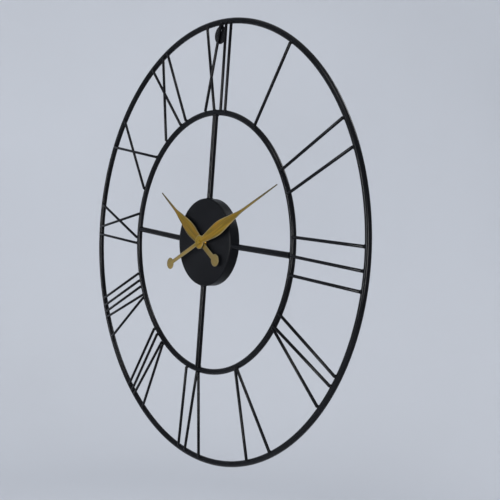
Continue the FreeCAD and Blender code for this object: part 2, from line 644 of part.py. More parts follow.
# -------------------------------------------------------------------- nodes
def main():
    os.makedirs("parts", exist_ok=True)

    rings = [dial_ring(OUTER_R), dial_ring(INNER_R)]
    save("outer_ring", rings[0])
    save("inner_ring", rings[1])
    cup_body = cup_outside()
    for hour in SPOKES:
        save("spoke_%d" % hour, spoke(hour, cup_body))
    for hour in NUMERALS:
        save("numeral_%d" % hour, *numeral(hour, rings))
    save("hanger_plate", hanger_plate())

    save("hub_cup", hub_cup())
    save("rubber_washer", ring_y(CUP_FRONT + SHEET, CASE_FRONT, RUBBER_R, SHAFT_HOLE_R))
    save("brass_washer", ring_y(CUP_FRONT - WASHER_THICK, CUP_FRONT, WASHER_R, BUSH_R + 0.1))
    save("fixing_nut", fixing_nut())
    save("threaded_bush", threaded_bush())

    save("case_front", case_front())
    save("case_back", case_back())
    save("mid_plate", mid_plate())
    save("train_bridge", train_bridge())
    save("stator", stator())
    save("coil_core", coil_core())
    save("coil_bobbin", coil_bobbin())
    save("coil_winding", coil_winding())
    save("circuit_board", circuit_board())
    save("quartz_crystal", quartz_crystal())
    save("clock_chip", clock_chip())
    save("contact_plus", battery_contact(1))
    save("contact_minus", battery_contact(-1))
    save("battery_cell", battery_cell())

    save("rotor", rotor())
    save("fifth_wheel", fifth_wheel())
    save("seconds_wheel", seconds_wheel())
    save("third_wheel", third_wheel())
    save("centre_wheel", centre_wheel())
    save("minute_arbor", minute_arbor())
    save("motion_wheel", motion_wheel())
    save("hour_wheel", hour_wheel())
    save("setting_knob", setting_knob())

    save("hour_hand", hour_hand())
    save("minute_hand", minute_hand())
    save("hand_cap", hand_cap())


main()
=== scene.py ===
"""Looks of the open-frame wall clock: powder-coated bars, welds, gold hands and movement."""

import json
import math
import random

import bmesh
import bpy
from mathutils import Matrix, Vector, noise


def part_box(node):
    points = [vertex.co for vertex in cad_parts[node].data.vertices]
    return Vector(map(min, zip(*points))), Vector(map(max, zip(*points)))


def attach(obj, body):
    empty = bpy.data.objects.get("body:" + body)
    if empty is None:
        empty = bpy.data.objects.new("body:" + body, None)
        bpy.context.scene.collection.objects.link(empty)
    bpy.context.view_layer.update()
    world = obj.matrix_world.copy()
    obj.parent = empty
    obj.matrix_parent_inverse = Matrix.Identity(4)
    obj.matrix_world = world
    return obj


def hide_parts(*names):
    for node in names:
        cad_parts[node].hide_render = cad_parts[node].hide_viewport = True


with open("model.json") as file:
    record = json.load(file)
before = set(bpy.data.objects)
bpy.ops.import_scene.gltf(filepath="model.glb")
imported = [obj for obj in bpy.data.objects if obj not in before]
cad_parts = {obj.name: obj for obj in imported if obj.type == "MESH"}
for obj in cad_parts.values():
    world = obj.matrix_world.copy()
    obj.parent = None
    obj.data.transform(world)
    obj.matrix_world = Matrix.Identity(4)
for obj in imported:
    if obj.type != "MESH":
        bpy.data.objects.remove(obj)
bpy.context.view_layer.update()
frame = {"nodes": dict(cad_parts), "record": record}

MM = 0.001
FRAME_BODY = "frame"
ALONG_Y = Vector((0, 1, 0))


# ------------------------------------------------------------------- camera
VIEW_AZIMUTH = 50.84       # degrees round from straight ahead
VIEW_ELEVATION = 4.04      # degrees
VIEW_ROLL = 4.24           # degrees
VIEW_DISTANCE = 1.02478    # metres
VIEW_TARGET_X, VIEW_TARGET_Z = 0.09579, -0.00113
LENS = 57.19               # mm


def make_camera():
    """Camera turned about a point in the plane of the rings."""
    a, e, r = (math.radians(v) for v in (VIEW_AZIMUTH, VIEW_ELEVATION, VIEW_ROLL))
    back = Vector((math.sin(a) * math.cos(e), -math.cos(a) * math.cos(e), math.sin(e)))
    level = Vector((math.cos(a), math.sin(a), 0))
    over = back.cross(level)
    right = level * math.cos(r) + over * math.sin(r)
    up = over * math.cos(r) - level * math.sin(r)
    low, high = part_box("outer_ring")
    target = Vector((VIEW_TARGET_X, 0.5 * (low[1] + high[1]), VIEW_TARGET_Z))
    cam = bpy.data.objects.new("camera", bpy.data.cameras.new("camera"))
    cam.data.lens = LENS
    cam.data.clip_start = 0.02
    bpy.context.scene.collection.objects.link(cam)
    matrix = Matrix((right, up, back)).transposed().to_4x4()
    matrix.translation = target + back * VIEW_DISTANCE
    cam.matrix_world = matrix
    bpy.context.scene.camera = cam


# ---------------------------------------------------------------- materials
COAT_DUST = (0.035, 0.035, 0.038)
BACKDROP = (0.565, 0.583, 0.618)
BLACK = (0.0018, 0.0020, 0.0026)
GOLD = (0.180, 0.117, 0.0065)
# pale gold: worn flakes and paler tails, and also the painted edge highlight round each blade
WEAR_AND_HIGHLIGHT_GOLD = (0.19, 0.16, 0.078)
TARNISH = (0.05, 0.042, 0.022)


def start_material(name, color, roughness, metallic=0.0, specular=0.5):
    mat = bpy.data.materials.new(name)
    mat.use_nodes = True
    shader = mat.node_tree.nodes["Principled BSDF"]
    shader.inputs["Base Color"].default_value = (*color, 1)
    shader.inputs["Roughness"].default_value = roughness
    shader.inputs["Metallic"].default_value = metallic
    shader.inputs["Specular IOR Level"].default_value = specular
    return mat, mat.node_tree, shader


def object_coords(tree):
    return tree.nodes.new("ShaderNodeTexCoord").outputs["Object"]


def noise_out(tree, coords, scale, detail=3.0):
    node = tree.nodes.new("ShaderNodeTexNoise")
    node.inputs["Scale"].default_value = scale
    node.inputs["Detail"].default_value = detail
    tree.links.new(coords, node.inputs["Vector"])
    return node.outputs["Fac"]


def span(tree, value, low, high, out_low, out_high):
    """Maps a value from one range to another, held at both ends."""
    node = tree.nodes.new("ShaderNodeMapRange")
    node.inputs["From Min"].default_value = low
    node.inputs["From Max"].default_value = high
    node.inputs["To Min"].default_value = out_low
    node.inputs["To Max"].default_value = out_high
    tree.links.new(value, node.inputs["Value"])
    return node.outputs["Result"]


def mix_color(tree, fac, color_a, color_b):
    node = tree.nodes.new("ShaderNodeMix")
    node.data_type = "RGBA"
    tree.links.new(fac, node.inputs[0])
    for socket, value in ((node.inputs[6], color_a), (node.inputs[7], color_b)):
        if isinstance(value, tuple):
            socket.default_value = (*value, 1)
        else:
            tree.links.new(value, socket)
    return node.outputs[2]


def bump(tree, shader, heights):
    """Stacks bumps: each height is (value, strength, distance in metres)."""
    normal = None
    for value, strength, distance in heights:
        node = tree.nodes.new("ShaderNodeBump")
        node.inputs["Strength"].default_value = strength
        node.inputs["Distance"].default_value = distance
        tree.links.new(value, node.inputs["Height"])
        if normal is not None:
            tree.links.new(normal, node.inputs["Normal"])
        normal = node.outputs["Normal"]
    tree.links.new(normal, shader.inputs["Normal"])


def powder_coat(name, color, roughness, peel, specular):
    """Satin black powder coat: orange peel, faint dust and slightly uneven gloss."""
    mat, tree, shader = start_material(name, color, roughness, 0.0, specular)
    coords = object_coords(tree)
    cloud = noise_out(tree, coords, 14, 4)
    speck = noise_out(tree, coords, 900, 2)
    dust = span(tree, speck, 0.62, 0.80, 0.0, 0.2)
    lighter = tuple(1.6 * c + 0.0005 for c in color)
    tone = mix_color(tree, span(tree, cloud, 0.35, 0.65, 0, 1), color, lighter)
    tree.links.new(mix_color(tree, dust, tone, COAT_DUST), shader.inputs["Base Color"])
    tree.links.new(span(tree, cloud, 0.3, 0.7, roughness - 0.05, roughness + 0.07),
                   shader.inputs["Roughness"])
    bump(tree, shader, [(noise_out(tree, coords, 420, 2), peel, 0.00012),
                        (noise_out(tree, coords, 1800, 1), peel * 0.5, 0.00003)])
    return mat


def turned(tree, coords, angle):
    """Coordinates turned back from a clock angle, so that Z runs along the hand."""
    node = tree.nodes.new("ShaderNodeMapping")
    node.inputs["Rotation"].default_value = (0, -math.radians(angle), 0)
    tree.links.new(coords, node.inputs["Vector"])
    return node.outputs["Vector"]


def stretched(tree, coords, scale):
    node = tree.nodes.new("ShaderNodeMapping")
    node.inputs["Scale"].default_value = scale
    tree.links.new(coords, node.inputs["Vector"])
    return node.outputs["Vector"]


def gold_lacquer(name, color, roughness, angle, wear_and_highlight_gold, reach=None):
    """Antique gold lacquer over brushed sheet, streaked along the hand. With the distance to
    the tip given as reach, the tip is tarnished and the tail is paler."""
    mat, tree, shader = start_material(name, color, roughness, 0.6, 0.2)
    coords = turned(tree, object_coords(tree), angle)
    streak = noise_out(tree, stretched(tree, coords, (1, 1, 0.06)), 420, 4)
    patch = span(tree, noise_out(tree, coords, 45, 3), 0.35, 0.65, 0, 1)
    warm = (color[0] * 1.12, color[1] * 0.88, color[2] * 0.6)
    dark = tuple(c * 0.55 for c in color)
    tone = mix_color(tree, patch, color, warm)
    tone = mix_color(tree, span(tree, streak, 0.40, 0.60, 0.8, 0), tone, dark)
    flake = span(tree, noise_out(tree, coords, 2600, 1), 0.5, 0.8, 0, 0.3)
    tone = mix_color(tree, flake, tone, wear_and_highlight_gold)
    if reach:
        split = tree.nodes.new("ShaderNodeSeparateXYZ")
        tree.links.new(coords, split.inputs["Vector"])
        out = split.outputs["Z"]
        tail = span(tree, out, -0.03, -0.005, 0.45, 0)
        point = span(tree, out, 0.55 * reach, 0.85 * reach, 0, 0.75)
        tone = mix_color(tree, tail, tone, wear_and_highlight_gold)
        tone = mix_color(tree, point, tone, TARNISH)
    tree.links.new(tone, shader.inputs["Base Color"])
    tree.links.new(span(tree, streak, 0.3, 0.7, roughness - 0.06, roughness + 0.08),
                   shader.inputs["Roughness"])
    bump(tree, shader, [(streak, 0.25, 0.00005)])
    return mat


def moulded_plastic(name, color, roughness):
    mat, tree, shader = start_material(name, color, roughness)
    coords = object_coords(tree)
    cloud = noise_out(tree, coords, 60, 3)
    tone = tuple(min(1.0, c * 1.25 + 0.003) for c in color)
    tree.links.new(mix_color(tree, cloud, color, tone), shader.inputs["Base Color"])
    tree.links.new(span(tree, cloud, 0.3, 0.7, roughness - 0.05, roughness + 0.08),
                   shader.inputs["Roughness"])
    bump(tree, shader, [(noise_out(tree, coords, 3500, 2), 0.3, 0.00003)])
    return mat


def plain_metal(name, color, roughness):
    """Turned or stamped metal with fine drawn lines and a soft tarnish."""
    mat, tree, shader = start_material(name, color, roughness, 1.0)
    coords = object_coords(tree)
    tarnish = noise_out(tree, coords, 220, 4)
    tree.links.new(mix_color(tree, tarnish, color, tuple(c * 0.72 for c in color)),
                   shader.inputs["Base Color"])
    tree.links.new(span(tree, tarnish, 0.3, 0.7, roughness, roughness + 0.15),
                   shader.inputs["Roughness"])
    bump(tree, shader, [(noise_out(tree, coords, 2400, 1), 0.2, 0.00002)])
    return mat


def rubber_mat(name):
    mat, tree, shader = start_material(name, (0.018, 0.018, 0.018), 0.75)
    bump(tree, shader, [(noise_out(tree, object_coords(tree), 2500, 3), 0.5, 0.00005)])
    return mat


def wound_wire(name):
    """Fine enamelled copper turns round the coil's upright axis."""
    mat, tree, shader = start_material(name, (0.55, 0.20, 0.07), 0.35, 0.9)
    wave = tree.nodes.new("ShaderNodeTexWave")
    wave.wave_type = "BANDS"
    wave.bands_direction = "Z"
    wave.inputs["Scale"].default_value = 1100
    tree.links.new(object_coords(tree), wave.inputs["Vector"])
    bump(tree, shader, [(wave.outputs["Fac"], 0.8, 0.00008)])
    return mat


def backdrop_mat():
    mat, tree, shader = start_material("backdrop", BACKDROP, 0.9, 0.0, 0.2)
    cloud = span(tree, noise_out(tree, object_coords(tree), 0.6, 2), 0.3, 0.7, 0, 1)
    darker = tuple(c * 0.95 for c in BACKDROP)
    tree.links.new(mix_color(tree, cloud, BACKDROP, darker), shader.inputs["Base Color"])
    return mat


MATERIALS = {
    "black_frame": powder_coat("frame_powder_coat", BLACK, 0.20, peel=0.08, specular=0.075),
    "black_cup": powder_coat("cup_powder_coat", BLACK, 0.34, peel=0.25, specular=0.06),
    "gold_hands": gold_lacquer("gold_cap", GOLD, 0.4, 0, WEAR_AND_HIGHLIGHT_GOLD),
    "case_plastic": moulded_plastic("case_plastic", (0.022, 0.022, 0.024), 0.42),
    "white_plastic": moulded_plastic("white_plastic", (0.72, 0.71, 0.66), 0.45),
    "wheel_plastic": moulded_plastic("wheel_acetal", (0.76, 0.73, 0.62), 0.35),
    "arbor_plastic": moulded_plastic("arbor_acetal", (0.66, 0.60, 0.46), 0.35),
    "knob_plastic": moulded_plastic("knob_plastic", (0.62, 0.62, 0.60), 0.4),
    "turned_brass": plain_metal("turned_brass", (0.62, 0.42, 0.14), 0.28),
    "seal_rubber": rubber_mat("washer_rubber"),
    "soft_iron": plain_metal("soft_iron", (0.42, 0.42, 0.43), 0.4),
    "copper_wire": wound_wire("copper_winding"),
    "board_laminate": moulded_plastic("board_laminate", (0.03, 0.20, 0.07), 0.35),
    "chip_resin": moulded_plastic("chip_resin", (0.012, 0.012, 0.012), 0.5),
    "plated_steel": plain_metal("nickel_plate", (0.62, 0.61, 0.58), 0.25),
    "cell_jacket": moulded_plastic("cell_jacket", (0.03, 0.06, 0.16), 0.3),
}


# ------------------------------------------------------------------ helpers
def piece(name, bm, slot, replaces=(), body=FRAME_BODY, smooth=35.0, mats=None):
    """Turns a finished bmesh into a piece that rides on a body."""
    bmesh.ops.recalc_face_normals(bm, faces=bm.faces)
    mesh = bpy.data.meshes.new(name)
    bm.to_mesh(mesh)
    bm.free()
    mesh.shade_smooth()
    mesh.set_sharp_from_angle(angle=math.radians(smooth))
    obj = bpy.data.objects.new(name, mesh)
    bpy.context.scene.collection.objects.link(obj)
    for mat in mats or [MATERIALS[slot]]:
        mesh.materials.append(mat)
    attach(obj, body)
    if replaces:
        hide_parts(*replaces)
    return obj


def spin(bm, profile, steps, centre=(0, 0, 0), axis=(0, 1, 0)):
    """Closed loop of points turned all the way round an axis."""
    verts = [bm.verts.new(p) for p in profile]
    edges = [bm.edges.new((verts[i - 1], verts[i])) for i in range(len(verts))]
    bmesh.ops.spin(bm, geom=verts + edges, cent=centre, axis=axis, angle=2 * math.pi,
                   steps=steps, use_merge=True, use_duplicate=False)


def spin_y(bm, profile, steps, centre=(0, 0)):
    """Closed profile of (radius, y) points turned round an axis along Y."""
    spin(bm, [(centre[0] + r, y, centre[1]) for r, y in profile], steps,
         (centre[0], 0, centre[1]))


def arc(centre_r, centre_y, radius, start, end, steps):
    """Points (radius, y) on an arc, angles in degrees from outwards towards +Y."""
    turns = [math.radians(start + (end - start) * i / steps) for i in range(steps + 1)]
    return [(centre_r + radius * math.cos(t), centre_y + radius * math.sin(t)) for t in turns]


def dial_point(angle, radius, y, sideways=0.0):
    """Point at a clock angle and radial distance, moved sideways clockwise."""
    a = math.radians(angle)
    return Vector((radius * math.sin(a) + sideways * math.cos(a), y,
                   radius * math.cos(a) - sideways * math.sin(a)))


def soften(bm, edges, width):
    bmesh.ops.bevel(bm, geom=edges, offset=width, segments=2, profile=0.5, affect="EDGES",
                    material=-1)


def rod(bm, start, end, radius, sides, chamfer):
    """Round rod with softened ends."""
    along = end - start
    made = bmesh.ops.create_cone(bm, cap_ends=True, cap_tris=False, segments=sides,
                                 radius1=radius, radius2=radius, depth=along.length)["verts"]
    turn = along.to_track_quat("Z", "Y").to_matrix().to_4x4()
    bmesh.ops.transform(bm, matrix=Matrix.Translation(0.5 * (start + end)) @ turn, verts=made)
    if chamfer:
        caps = {f for v in made for f in v.link_faces if len(f.verts) == sides}
        soften(bm, list({e for f in caps for e in f.edges}), chamfer)


def slab(bm, outline, y0, y1, bevel):
    """Flat plate: outline of (x, z) points between two planes, its edges softened."""
    face = bm.faces.new([bm.verts.new((x, y0, z)) for x, z in outline])
    made = bmesh.ops.extrude_face_region(bm, geom=[face])["geom"]
    verts = [g for g in made if isinstance(g, bmesh.types.BMVert)]
    bmesh.ops.translate(bm, vec=(0, y1 - y0, 0), verts=verts)
    rims = {e for v in verts for e in v.link_edges
            if abs(e.verts[0].co.y - e.verts[1].co.y) < 1e-7} | set(face.edges)
    soften(bm, list(rims), bevel)


# --------------------------------------------------------------- dial frame
RING_STEPS = 288
BAR_SIDES = 24
ROD_SIDES = 20
SPOKE_SIDES = 32
HOLE_SIDES = 40
ROD_SHORT = 2.8            # mm by which a numeral rod ends short of a ring's centre line
ROD_CHAMFER = 0.25 * MM

# ranges in mm from which the length and the radius of a weld bead are drawn
FLANK_BEAD = ((1.1, 1.5), (0.8, 1.05))       # beside the end of a numeral rod
SPOKE_BEAD = ((1.1, 1.5), (0.6, 0.85))       # round the end of a spoke
HANGER_BEAD_RADIUS = (0.9, 1.2)
HANGER_BEAD_LENGTH = 1.4 * MM
TIP_BEAD_RADIUS = 1.15 * MM
BEADS_ROUND_SPOKE = 18
BEADS_ON_HANGER = 7
BEAD_GRAIN = 700           # lumps per metre
BEAD_LUMPS = 0.28          # height of the lumps against the bead's own size
FLANK_SINK = 0.4 * MM      # how far a flank bead's middle lies inside the rod's radius
FLANK_REAR = 0.7 * MM      # and in front of the rod's rearmost line
TIP_REAR = 0.7 * MM        # how far a tip bead's middle lies behind the rod's axis

# sideways places in mm, at the inner and the outer end, of a numeral's strokes and a spoke
NUMERALS = {
    1: [(0, 0)],
    2: [(-14, -18), (18, 20)],
    3: [(-23, -23), (0, 4), (23, 27)],
    4: [(-20, -24), (-1, -10), (1, 24)],
    5: [(0, -23), (2, 27)],
    6: [(-7, -22), (-4, 13), (22, 29)],
    7: [(-4, -20), (-1, 11), (16, 19), (27, 31)],
    8: [(-11, -35), (-7, 1), (7, 10), (17, 21), (28, 33)],
    9: [(-18, -14), (-10, 37), (28, -3)],
    10: [(-27, 32), (32, -22)],
    11: [(-30, 14), (14, -20), (27, 25)],
    12: [(-20, 4), (2, -29), (16, 15), (26, 26)],
}
SPOKES = {12: (0, 0), 3: (0, 0), 6: (0, 0), 9: (0, 4)}


def ring_sizes(node):
    """Centre-line radius, bar radius and plane of a round-bar ring."""
    low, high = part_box(node)
    bar = 0.5 * (high[1] - low[1])
    return 0.5 * (high[0] - low[0]) - bar, bar, 0.5 * (low[1] + high[1])


def bar_ring(node):
    radius, bar, y = ring_sizes(node)
    bm = bmesh.new()
    turns = [2 * math.pi * i / BAR_SIDES for i in range(BAR_SIDES)]
    spin_y(bm, [(radius + bar * math.cos(t), y + bar * math.sin(t)) for t in turns], RING_STEPS)
    piece(node + "_bar", bm, "black_frame", [node])


def stroke_ends(hour, foot, head, y):
    """A stroke's ends on the centre lines of the inner and the outer ring."""
    inner, outer = ring_sizes("inner_ring")[0], ring_sizes("outer_ring")[0]
    foot, head = foot * MM, head * MM
    return (dial_point(30 * hour, math.sqrt(inner ** 2 - foot ** 2), y, foot),
            dial_point(30 * hour, math.sqrt(outer ** 2 - head ** 2), y, head))


def weld_bead(bm, place, along, length, radius, rng):
    """Small lumpy bead lying along a joint."""
    shape = bmesh.ops.create_icosphere(bm, subdivisions=2, radius=1.0)["verts"]
    turn = along.to_track_quat("X", "Z").to_matrix().to_4x4()
    size = Matrix.Diagonal((length, radius, radius, 1))
    bmesh.ops.transform(bm, matrix=Matrix.Translation(place) @ turn @ size, verts=shape)
    seed = Vector((rng.random(), rng.random(), rng.random())) * 50
    for v in shape:
        v.co += (v.co - place) * noise.noise(v.co * BEAD_GRAIN + seed) * BEAD_LUMPS


def drawn_size(rng, bead):
    """Length and radius of a bead, drawn from its ranges."""
    lengths, radii = bead
    return rng.uniform(*lengths) * MM, rng.uniform(*radii) * MM


def numeral_rods():
    """The rods of every numeral, and the beads that join each end to a ring's front flank."""
    rng = random.Random(12)
    for hour, strokes in NUMERALS.items():
        node = "numeral_%d" % hour
        low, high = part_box(node)
        y, radius = 0.5 * (low[1] + high[1]), 0.5 * (high[1] - low[1])
        rods, welds = bmesh.new(), bmesh.new()
        for foot, head in strokes:
            a, b = stroke_ends(hour, foot, head, y)
            along = (b - a).normalized()
            rod(rods, a + along * ROD_SHORT * MM, b - along * ROD_SHORT * MM, radius,
                ROD_SIDES, ROD_CHAMFER)
            side = along.cross(ALONG_Y)
            for end, inward in ((a, 1), (b, -1)):
                for sign in (1, -1):
                    spot = end + side * sign * (radius - FLANK_SINK)
                    spot += along * inward * (ROD_SHORT + 0.1) * MM
                    spot += ALONG_Y * (radius - FLANK_REAR)
                    weld_bead(welds, spot, along, *drawn_size(rng, FLANK_BEAD), rng)
                tip = end + along * inward * (ROD_SHORT - 0.5) * MM + ALONG_Y * TIP_REAR
                weld_bead(welds, tip, side, radius * 0.95, TIP_BEAD_RADIUS, rng)
        piece(node + "_rods", rods, "black_frame", [node])
        piece(node + "_welds", welds, "black_frame")


def spokes():
    """Spokes from the cup's wall to the inner ring, with a lumpy weld round both ends."""
    rng = random.Random(7)
    ring_radius, bar, y = ring_sizes("inner_ring")
    cup_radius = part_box("hub_cup")[1][0]
    for hour, (foot, head) in SPOKES.items():
        rods, welds = bmesh.new(), bmesh.new()
        start = dial_point(30 * hour, cup_radius, y, foot * MM)
        end = dial_point(30 * hour, ring_radius - bar, y, head * MM)
        out = (end - start).normalized()
        side = out.cross(ALONG_Y)
        rod(rods, start - out * 0.8 * MM, end + out * 1.5 * MM, bar, SPOKE_SIDES, 0)
        for middle in (start + out * 0.2 * MM, end - out * 0.1 * MM):
            for i in range(BEADS_ROUND_SPOKE):
                t = 2 * math.pi * i / BEADS_ROUND_SPOKE
                spread = side * math.cos(t) + ALONG_Y * math.sin(t)
                tangent = ALONG_Y * math.cos(t) - side * math.sin(t)
                weld_bead(welds, middle + spread * bar, tangent,
                          *drawn_size(rng, SPOKE_BEAD), rng)
        piece("spoke_%d_bar" % hour, rods, "black_frame", ["spoke_%d" % hour])
        piece("spoke_%d_welds" % hour, welds, "black_frame")


HANGER_HOLE_R = 2.6 * MM
HANGER_HOLE_Z = 288.9 * MM
HANGER_NECK = 4.5 * MM     # half the width of the neck between the lobe and the ring
HANGER_EDGE = 0.35 * MM
HANGER_STEPS = 64
HANGER_BEAD_PITCH = 1.5 * MM


def bore(obj, start, end, radius):
    """Cuts a round hole through a piece's mesh."""
    bm = bmesh.new()
    rod(bm, start, end, radius, HOLE_SIDES, 0)
    mesh = bpy.data.meshes.new("hole")
    bm.to_mesh(mesh)
    bm.free()
    cutter = bpy.data.objects.new("hole", mesh)
    bpy.context.scene.collection.objects.link(cutter)
    cut = obj.modifiers.new("hole", "BOOLEAN")
    cut.operation, cut.object, cut.solver = "DIFFERENCE", cutter, "EXACT"
    bpy.context.view_layer.update()
    depsgraph = bpy.context.evaluated_depsgraph_get()
    done = bpy.data.meshes.new_from_object(obj.evaluated_get(depsgraph))
    obj.modifiers.clear()
    obj.data = done
    done.name = obj.name
    bpy.data.objects.remove(cutter)


def hanger():
    """Stamped plate: round lobe, neck up to the ring, nail hole and softened edges."""
    low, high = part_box("hanger_plate")
    ring_radius, bar, _ = ring_sizes("outer_ring")
    ring_inside = ring_radius - bar
    lobe_r = 0.5 * (high[0] - low[0])
    centre_z = low[2] + lobe_r
    start = math.asin(HANGER_NECK / lobe_r)
    outline = []
    for i in range(HANGER_STEPS + 1):
        t = start + (2 * math.pi - 2 * start) * i / HANGER_STEPS
        outline.append((lobe_r * math.sin(t), centre_z + lobe_r * math.cos(t)))
    top = ring_inside + 1.0 * MM
    outline += [(-HANGER_NECK, top), (HANGER_NECK, top)]
    bm = bmesh.new()
    slab(bm, outline, low[1], high[1], HANGER_EDGE)
    plate = piece("hanger_plate_stamping", bm, "black_frame", ["hanger_plate"])
    past = 5 * MM
    bore(plate, Vector((0, low[1] - past, HANGER_HOLE_Z)),
         Vector((0, high[1] + past, HANGER_HOLE_Z)), HANGER_HOLE_R)
    rng = random.Random(3)
    bm = bmesh.new()
    for i in range(BEADS_ON_HANGER):
        x = (i - BEADS_ON_HANGER // 2) * HANGER_BEAD_PITCH
        place = Vector((x, low[1] + 0.2 * MM, ring_inside + 0.5 * MM))
        weld_bead(bm, place, Vector((1, 0, 0)), HANGER_BEAD_LENGTH,
                  rng.uniform(*HANGER_BEAD_RADIUS) * MM, rng)
    piece("hanger_plate_welds", bm, "black_frame")


# ------------------------------------------------------------------ hub cup
CUP_STEPS = 192


def hub_cup_piece():
    """Pressed cup: rounded front edge, softened shaft hole and back rim."""
    low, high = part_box("hub_cup")
    radius, front, back = high[0], low[1], high[1]
    sheet, edge, hole, lip = 1.2 * MM, 2.2 * MM, 4.3 * MM, 0.35 * MM
    outer = arc(radius - edge, front + edge, edge, -90, 0, 10)
    inner = arc(radius - edge, front + edge, edge - sheet, 0, -90, 5)
    flats = [0.25, 0.5, 0.75]
    profile = [(hole, front + lip), (hole + lip, front)]
    profile += [(radius * f, front) for f in flats] + outer
    profile += [(radius, back - lip), (radius - lip, back), (radius - sheet + lip, back),
                (radius - sheet, back - lip)] + inner
    profile += [(radius * f, front + sheet) for f in reversed(flats)] + [(hole, front + sheet)]
    bm = bmesh.new()
    spin_y(bm, profile, CUP_STEPS)
    piece("hub_cup_pressing", bm, "black_cup", ["hub_cup"])


# -------------------------------------------------------------------- hands
# all sizes of the hands are in mm
BOSS_R = 9.5
# angle, distance and half width through the leaf, tip, tail (distance, disc, stem), body
HANDS = {
    "minute_hand": (61.2, [(0, 3.4), (14, 5.6), (46, 9.6), (76, 5.6), (104, 2.1)],
                    (176, 0.8), (77.5, 8.2, 2.9), "minute_works"),
    "hour_hand": (300.8, [(0, 5.5), (11, 7.4), (32, 9.6), (58, 6.0), (80, 2.4)],
                  (122, 1.0), (41.5, 8.4, 3.9), "hour_works"),
}
# painted shade: each hand gets a darkened copy of the same gold, the hour hand's darker than the
# minute hand's
HAND_SHADE = {"minute_hand": 0.9, "hour_hand": 0.74}
HAND_THICK = 0.7
HAND_RIM = 0.28            # bevel round the front of a blade
HAND_CROWN = 0.32          # rise of a blade's middle
CROWN_FULL = 9.0           # half width from which the crown is full
RIM_HIGHLIGHT = 0.9             # width of the pale border round a blade, a painted edge highlight
LEAST_STEP = 0.12          # between two sections of a blade


def leaf_width(leaf, tip, r):
    """Half width of the leaf at a distance from the axis: a cubic through its points."""
    if r < leaf[0][0] or r > tip[0]:
        return 0.0
    if r >= leaf[-1][0]:
        (r0, w0), (r1, w1) = leaf[-1], tip
        return w0 + (w1 - w0) * (r - r0) / (r1 - r0)
    points = leaf + [tip]
    slopes = []
    for i in range(len(leaf)):
        before, after = points[max(i - 1, 0)], points[i + 1]
        slopes.append((after[1] - before[1]) / (after[0] - before[0]))
    slopes[-1] = (tip[1] - leaf[-1][1]) / (tip[0] - leaf[-1][0])
    i = max(k for k in range(len(leaf) - 1) if leaf[k][0] <= r)
    (r0, w0), (r1, w1) = leaf[i], leaf[i + 1]
    h = r1 - r0
    t = (r - r0) / h
    return ((2 * t ** 3 - 3 * t ** 2 + 1) * w0 + (t ** 3 - 2 * t ** 2 + t) * h * slopes[i]
            + (3 * t ** 2 - 2 * t ** 3) * w1 + (t ** 3 - t ** 2) * h * slopes[i + 1])


def hand_width(r, leaf, tip, tail):
    """Half width of a hand: the widest of its leaf, boss, stem and disc at a distance."""
    distance, disc, stem = tail
    widths = [leaf_width(leaf, tip, r)]
    if abs(r) < BOSS_R:
        widths.append(math.sqrt(BOSS_R ** 2 - r ** 2))
    if -distance <= r <= 0:
        widths.append(stem)
    if abs(r + distance) < disc:
        widths.append(math.sqrt(disc ** 2 - (r + distance) ** 2))
    return max(widths)


def hand_stations(leaf, tip, tail):
    """Distances at which the blade is sectioned, close together where it is round."""
    distance, disc, _ = tail
    places = [-distance - disc * math.cos(math.pi * i / 40) for i in range(1, 40)]
    places += [-BOSS_R * math.cos(math.pi * i / 36) for i in range(37)]
    places += [-distance + disc + (distance - disc - BOSS_R) * i / 12 for i in range(13)]
    places += [BOSS_R + (leaf[-1][0] - BOSS_R) * i / 60 for i in range(61)]
    places += [leaf[-1][0] + (tip[0] - leaf[-1][0]) * i / 16 for i in range(17)]
    places = sorted(places + [-distance - disc * 0.9995])
    kept = [places[0]]
    for r in places[1:]:
        if r - kept[-1] > LEAST_STEP:
            kept.append(r)
    return kept


def blade_section(w):
    """Closed section (sideways, depth) of a blade of half width w, front first."""
    rim = min(HAND_RIM, 0.4 * w)
    rise = HAND_CROWN * min(1.0, w / CROWN_FULL) ** 0.5
    inside, soft = w - rim, 0.5 * rim
    border = max(inside - RIM_HIGHLIGHT, 0.5 * inside)
    half = [(w, rim), (inside, 0.0), (border, -0.3 * rise), (0.5 * border, -0.8 * rise)]
    return ([(-u, d) for u, d in half] + [(0, -rise)] + half[::-1]
            + [(w, HAND_THICK - soft), (w - soft, HAND_THICK), (0, HAND_THICK),
               (-w + soft, HAND_THICK), (-w, HAND_THICK - soft)])


def blade(name):
    """Stamped blade with a bevelled rim and a low crown along its middle."""
    angle, leaf, tip, tail, body = HANDS[name]
    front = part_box(name)[0][1]
    along, side = dial_point(angle, 1.0, 0), dial_point(angle, 0.0, 0, 1.0)
    bm = bmesh.new()
    edges = []
    for r in hand_stations(leaf, tip, tail):
        loop = [bm.verts.new(along * r * MM + side * u * MM + Vector((0, front + d * MM, 0)))
                for u, d in blade_section(hand_width(r, leaf, tip, tail))]
        edges += [bm.edges.new((loop[i - 1], loop[i])) for i in range(len(loop))]
    bmesh.ops.bridge_loops(bm, edges=edges)
    bmesh.ops.holes_fill(bm, edges=[e for e in bm.edges if e.is_boundary], sides=0)
    # faces in the border strip take the pale rim colour, a painted edge highlight
    for face in bm.faces:
        middle = face.calc_center_median() / MM
        width = hand_width(middle.dot(along), leaf, tip, tail)
        face.material_index = int(abs(middle.dot(side)) > width - 0.9 * RIM_HIGHLIGHT)
    reach = tip[0] * MM
    gold, wear_and_highlight_gold = (tuple(HAND_SHADE[name] * c for c in tone) for tone in (GOLD, WEAR_AND_HIGHLIGHT_GOLD))
    # the second material is the pale border: a painted edge highlight in the pale gold
    mats = [gold_lacquer(name + "_lacquer", gold, 0.4, angle, wear_and_highlight_gold, reach),
            gold_lacquer(name + "_painted_highlight_rim", wear_and_highlight_gold, 0.42, angle, wear_and_highlight_gold, reach)]
    piece(name + "_blade", bm, "gold_hands", [name], body, smooth=28.0, mats=mats)


